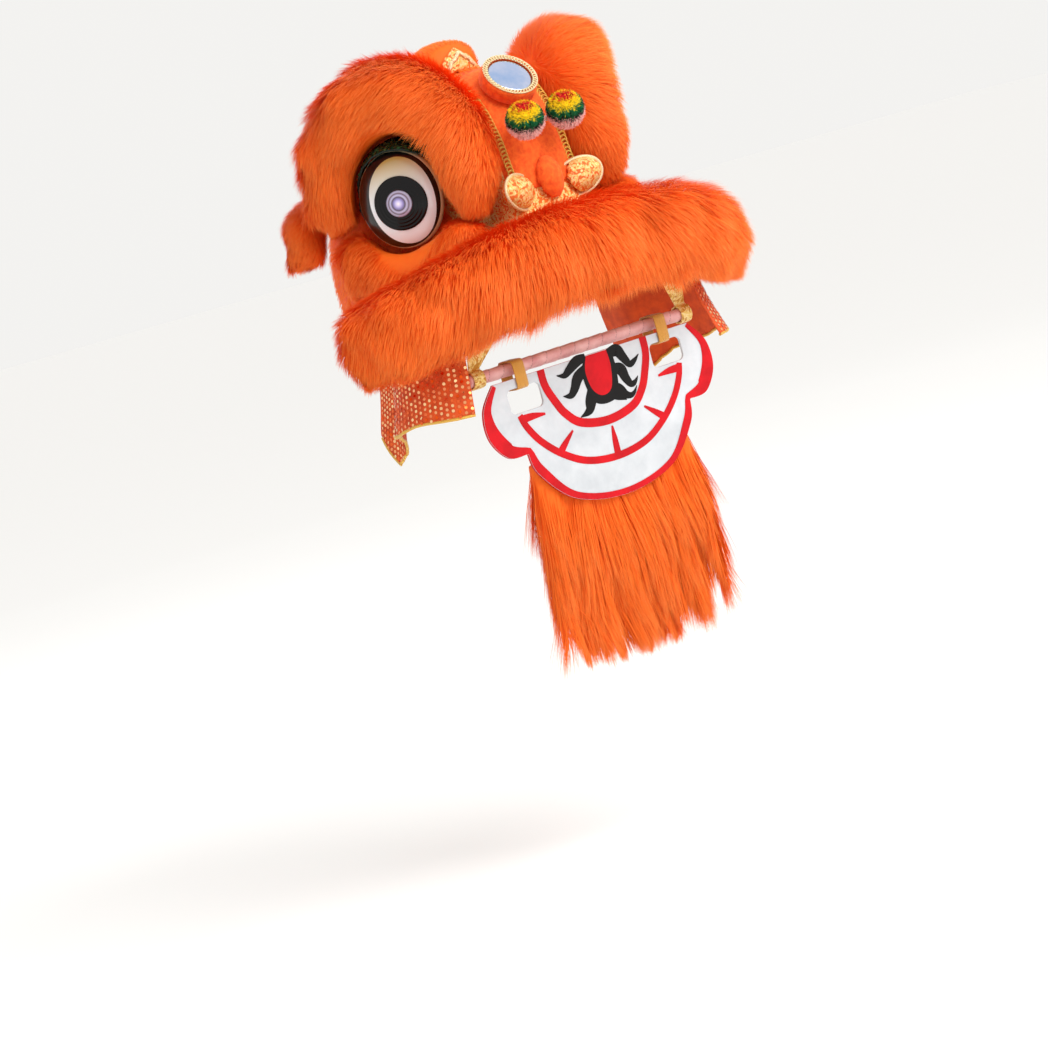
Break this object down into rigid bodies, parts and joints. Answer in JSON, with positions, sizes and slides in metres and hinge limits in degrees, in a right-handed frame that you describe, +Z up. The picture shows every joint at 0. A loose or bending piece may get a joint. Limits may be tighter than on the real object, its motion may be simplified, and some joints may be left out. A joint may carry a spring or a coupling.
{
  "type": "lion dance head",
  "caption": "Hollow lion dance head in long orange fur, worn from below, with domed lidded eyes, a mirror, pompoms and a painted swinging jaw board with a beard.",
  "frame": {"origin": "middle of the neck opening, level with the lowest part of the rim's underside", "axes": "+Z up, -Y the way the lion looks, -X the lion's right side"},
  "size_m": [0.714, 0.5605, 0.8826],
  "materials": {
    "fur": "long orange fur",
    "shell_skin": "papier-mache covered in short orange plush",
    "plush": "short orange plush",
    "brocade": "woven gold brocade",
    "eye_white": "painted, semi-gloss",
    "iris_black": "gloss black",
    "pupil_glass": "glassy, with turned rings",
    "lid_sequin": "dark green sequins",
    "mirror": "polished",
    "braid": "cream and silver braid",
    "pompom_wool": "wool, yellow with red, green and black",
    "spring_steel": "coiled wire",
    "bar_tape": "wooden bar wound with pink tape",
    "board_paint": "white paint with red and black lines",
    "webbing": "amber webbing",
    "flap_sequin": "orange cloth with sequins and gold piping"
  },
  "bodies": {
    "head": {"lip": "fur", "brow_right": "fur", "brow_left": "fur", "cheek_right": "fur", "cheek_left": "fur", "ear_right": "fur", "ear_left": "fur", "horn": "fur", "shell": "shell_skin", "forehead_panel": "plush", "nose_bridge": "plush", "horn_face": "brocade", "nose_wing_right": "brocade", "nose_wing_left": "brocade", "mouth_side_right": "brocade", "mouth_side_left": "brocade", "eye_right": "eye_white", "eye_left": "eye_white", "iris_right": "iris_black", "iris_left": "iris_black", "pupil_right": "pupil_glass", "pupil_left": "pupil_glass", "mirror": "mirror", "mirror_bezel": "braid", "pompom_right": "pompom_wool", "pompom_left": "pompom_wool", "pompom_stem_right": "spring_steel", "pompom_stem_left": "spring_steel", "jaw_bar": "bar_tape", "side_flap_right": "flap_sequin", "side_flap_left": "flap_sequin"},
    "jaw": {"jaw_board": "board_paint", "strap_right": "webbing", "strap_left": "webbing", "beard": "fur"},
    "lid_right": {"eyelid_right": "lid_sequin"},
    "lid_left": {"eyelid_left": "lid_sequin"}
  },
  "joints": [
    {"name": "jaw_swing", "type": "hinge", "parent": "head", "child": "jaw", "pos_m": [0, -0.172, -0.036], "axis": [-1, 0, 0], "range_deg": [-35, 60]},
    {"name": "blink_right", "type": "hinge", "parent": "head", "child": "lid_right", "pos_m": [-0.1387, -0.072, 0.216], "axis": [0.6157, -0.788, 0], "range_deg": [0, 40]},
    {"name": "blink_left", "type": "hinge", "parent": "head", "child": "lid_left", "pos_m": [0.1387, -0.072, 0.216], "axis": [0.6157, 0.788, 0], "range_deg": [0, 40]}
  ]
}
